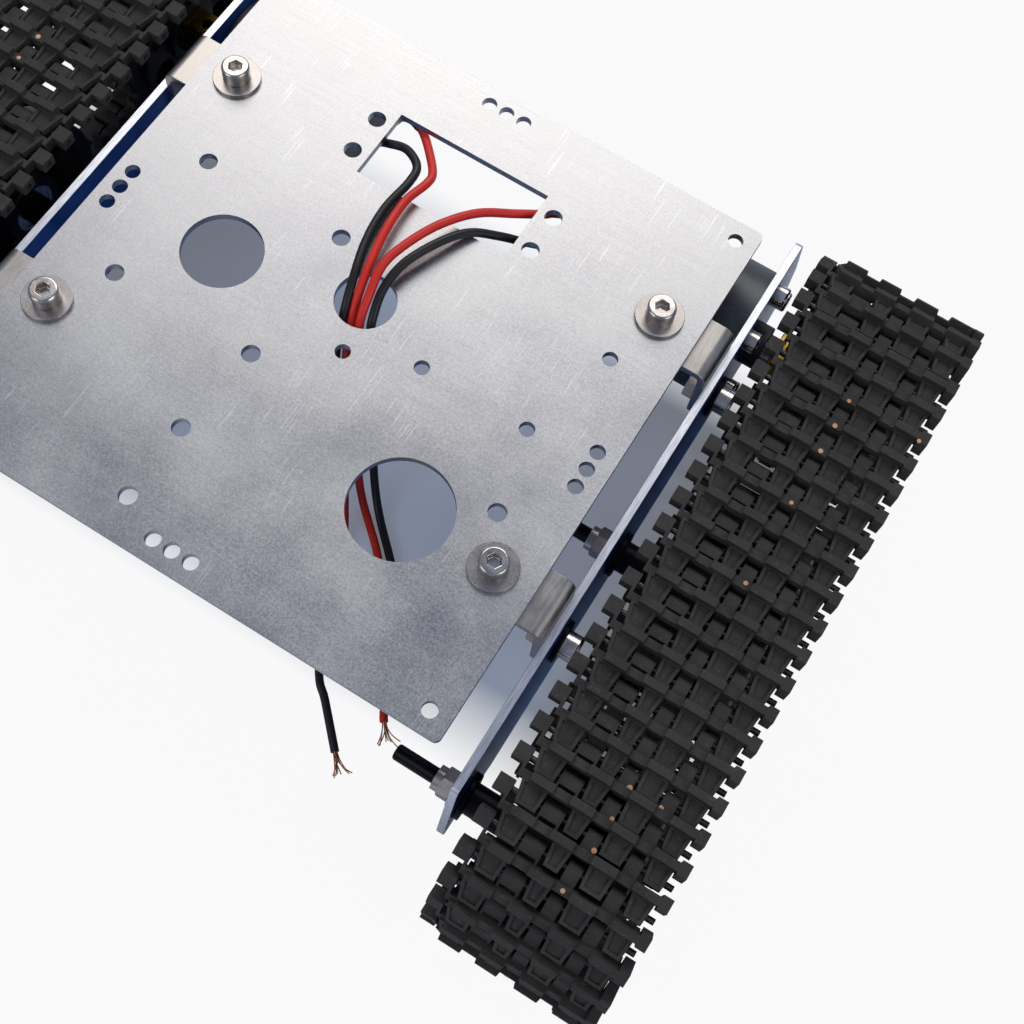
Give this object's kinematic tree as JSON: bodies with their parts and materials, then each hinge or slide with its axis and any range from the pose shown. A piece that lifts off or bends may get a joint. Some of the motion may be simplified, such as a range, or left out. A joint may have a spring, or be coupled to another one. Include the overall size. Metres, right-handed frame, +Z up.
{
  "type": "tracked tank chassis",
  "caption": "Tracked robot chassis: drilled aluminium deck on two side plates, two rear gearmotors with toothed sprockets, idlers, road wheels and pinned plastic link tracks.",
  "frame": {"origin": "centre of the footprint on the ground, under the middle of the two tracks", "axes": "+X to the chassis's right, +Y to the rear where the motors are, +Z up"},
  "size_m": [0.2588, 0.1984, 0.0657],
  "materials": {
    "deck_aluminium": "brushed",
    "filmed_aluminium": "blue protective film, bare cut edges",
    "nickel_steel": "satin",
    "bright_steel": "polished",
    "black_steel": "black oxide",
    "gearbox_steel": "dull",
    "can_steel": "satin",
    "black_plastic": "moulded",
    "track_plastic": "moulded, fine grain",
    "brass": "turned",
    "red_insulation": "smooth silicone",
    "black_insulation": "smooth silicone",
    "copper": "bare strands"
  },
  "bodies": {
    "chassis": {"top_plate": "deck_aluminium", "side_plate_left": "filmed_aluminium", "side_plate_right": "filmed_aluminium", "angle_brackets": "nickel_steel", "deck_screws": "bright_steel", "deck_washers": "nickel_steel", "deck_nuts": "nickel_steel", "side_screws": "bright_steel", "side_washers": "black_steel", "side_nuts": "nickel_steel", "gearbox_left": "gearbox_steel", "gearbox_right": "gearbox_steel", "motor_can_left": "can_steel", "motor_can_right": "can_steel", "motor_end_caps": "black_plastic", "motor_terminals": "bright_steel", "motor_face_screws": "bright_steel", "bearing_inner_rings": "bright_steel", "axle_bolts": "black_steel", "axle_spacers": "black_steel", "axle_collars": "black_steel", "axle_inner_washers": "nickel_steel", "axle_nuts": "nickel_steel", "track_links_left": "track_plastic", "track_links_right": "track_plastic", "track_pins_left": "gearbox_steel", "track_pins_right": "gearbox_steel", "wire_right_red": "red_insulation", "wire_right_black": "black_insulation", "wire_left_red": "red_insulation", "wire_left_black": "black_insulation", "bare_wire_ends": "copper"},
    "drive_right": {"output_shaft_right": "bright_steel", "hex_coupling_right": "brass", "coupling_set_screws_right": "black_steel", "drive_sprocket_right": "black_plastic", "sprocket_screw_right": "black_steel"},
    "idler_right": {"idler_wheel_right": "black_plastic", "idler_bearings_right": "bright_steel"},
    "road_right": {"road_wheel_right": "black_plastic", "road_bearings_right": "bright_steel"},
    "drive_left": {"output_shaft_left": "bright_steel", "hex_coupling_left": "brass", "coupling_set_screws_left": "black_steel", "drive_sprocket_left": "black_plastic", "sprocket_screw_left": "black_steel"},
    "idler_left": {"idler_wheel_left": "black_plastic", "idler_bearings_left": "bright_steel"},
    "road_left": {"road_wheel_left": "black_plastic", "road_bearings_left": "bright_steel"}
  },
  "joints": [
    {"name": "right_drive_spin", "type": "hinge", "parent": "chassis", "child": "drive_right", "pos_m": [0.1, 0.0693, 0.03023], "axis": [1, 0, 0], "continuous": true, "deforming": ["track_links_right", "track_pins_right"]},
    {"name": "right_idler_spin", "type": "hinge", "parent": "chassis", "child": "idler_right", "pos_m": [0.1085, -0.0693, 0.03023], "axis": [1, 0, 0], "continuous": true},
    {"name": "right_road_spin", "type": "hinge", "parent": "chassis", "child": "road_right", "pos_m": [0.1085, 0, 0.03023], "axis": [1, 0, 0], "continuous": true},
    {"name": "left_drive_spin", "type": "hinge", "parent": "chassis", "child": "drive_left", "pos_m": [-0.1, 0.0693, 0.03023], "axis": [1, 0, 0], "continuous": true, "deforming": ["track_links_left", "track_pins_left"]},
    {"name": "left_idler_spin", "type": "hinge", "parent": "chassis", "child": "idler_left", "pos_m": [-0.1085, -0.0693, 0.03023], "axis": [1, 0, 0], "continuous": true},
    {"name": "left_road_spin", "type": "hinge", "parent": "chassis", "child": "road_left", "pos_m": [-0.1085, 0, 0.03023], "axis": [1, 0, 0], "continuous": true}
  ],
  "couplings": [
    {"joint": "right_idler_spin", "follows": "right_drive_spin", "ratio": 1},
    {"joint": "right_road_spin", "follows": "right_drive_spin", "ratio": 1.0954},
    {"joint": "left_idler_spin", "follows": "left_drive_spin", "ratio": 1},
    {"joint": "left_road_spin", "follows": "left_drive_spin", "ratio": 1.0954}
  ]
}
